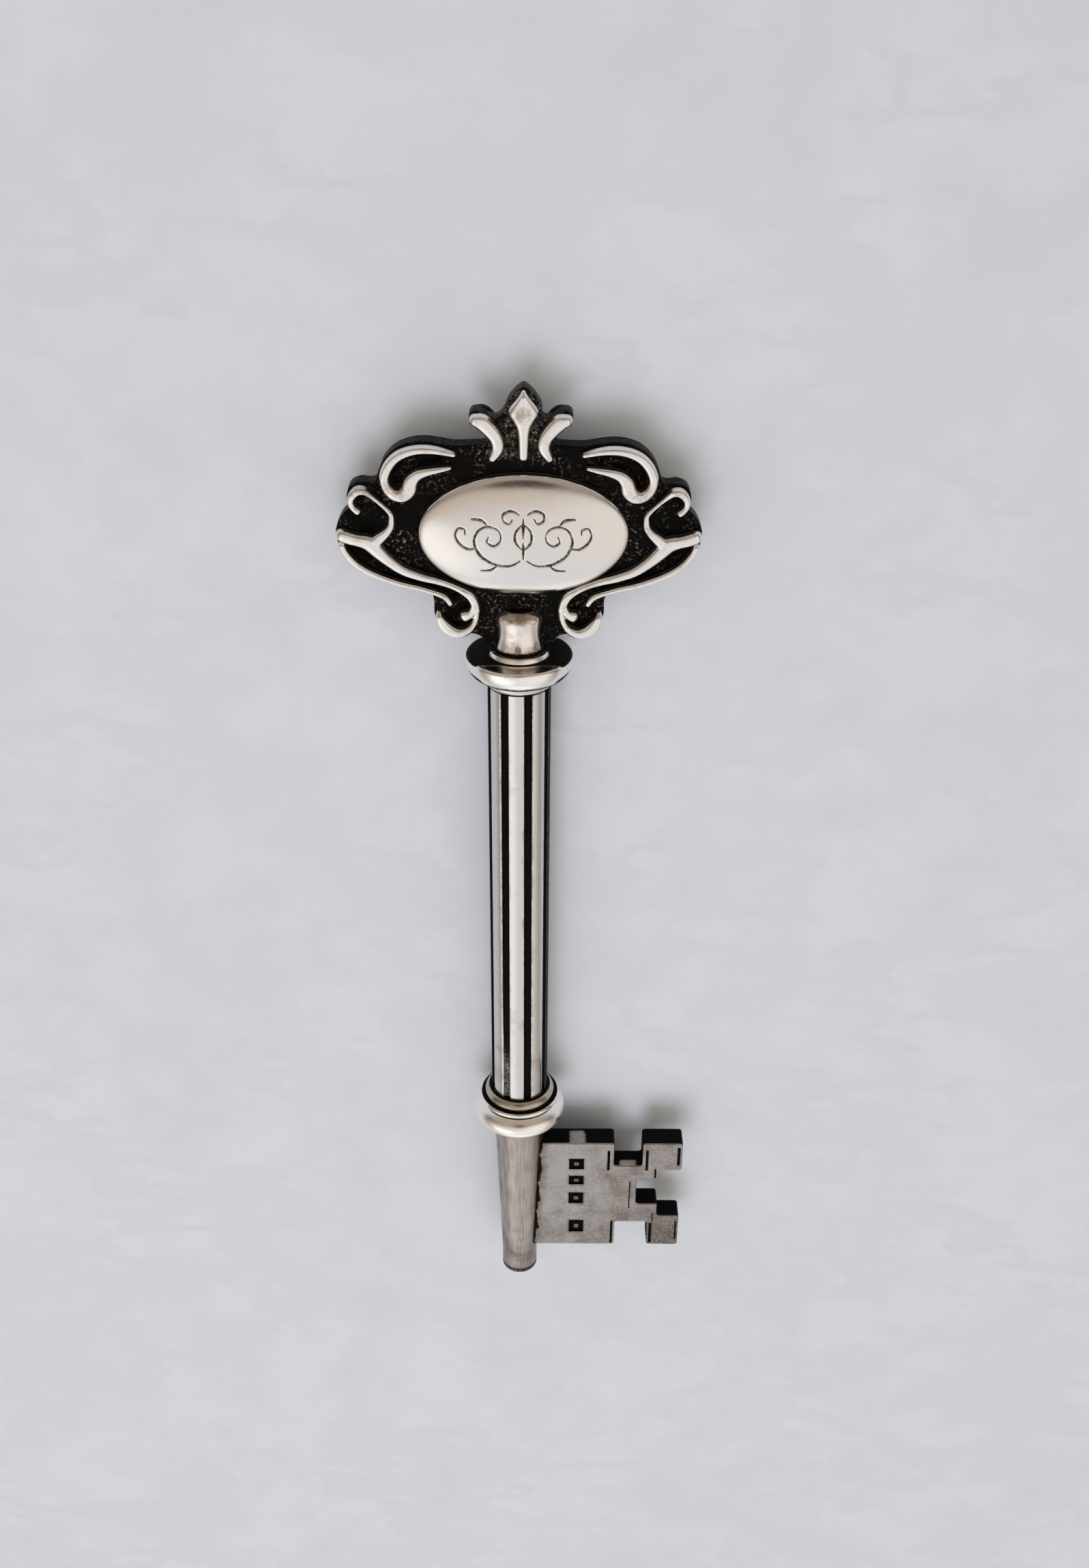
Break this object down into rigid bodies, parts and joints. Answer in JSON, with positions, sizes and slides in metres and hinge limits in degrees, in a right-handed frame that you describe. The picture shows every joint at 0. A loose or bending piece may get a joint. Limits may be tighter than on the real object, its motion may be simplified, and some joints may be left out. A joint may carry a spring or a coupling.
{
  "type": "ornamental key",
  "caption": "Ornamental presentation key: scrolled bow with an oval boss, fluted shank between turned collars, tapered pin and warded bit.",
  "frame": {"origin": "centre of the flat end face of the pin, on the axis of the key", "axes": "+Y along the axis of the key towards the bow, +X towards the bit, +Z out of the front face of the bow"},
  "size_m": [0.0395, 0.12, 0.0114],
  "materials": {
    "bright_silver": "hand-polished silver with fine wear marks",
    "aged_silver": "polished silver with brown tarnish in its grooves",
    "satin_silver": "satin silver with fine lengthwise scratches",
    "oxidised_ground": "blackened matted ground"
  },
  "bodies": {
    "root": {"bow_plate": "oxidised_ground", "front_boss": "bright_silver", "back_boss": "bright_silver", "front_crest": "bright_silver", "back_crest": "bright_silver", "front_upper_scrolls": "bright_silver", "back_upper_scrolls": "bright_silver", "front_side_scrolls": "bright_silver", "back_side_scrolls": "bright_silver", "front_lower_lips": "bright_silver", "back_lower_lips": "bright_silver", "neck_fork": "bright_silver", "neck_fillet": "bright_silver", "bow_collar": "bright_silver", "collar_bead": "aged_silver", "shank": "bright_silver", "stop_gland": "aged_silver", "stop_bead": "bright_silver", "stop_collar": "bright_silver", "pin": "satin_silver", "bit": "satin_silver"}
  },
  "joints": []
}
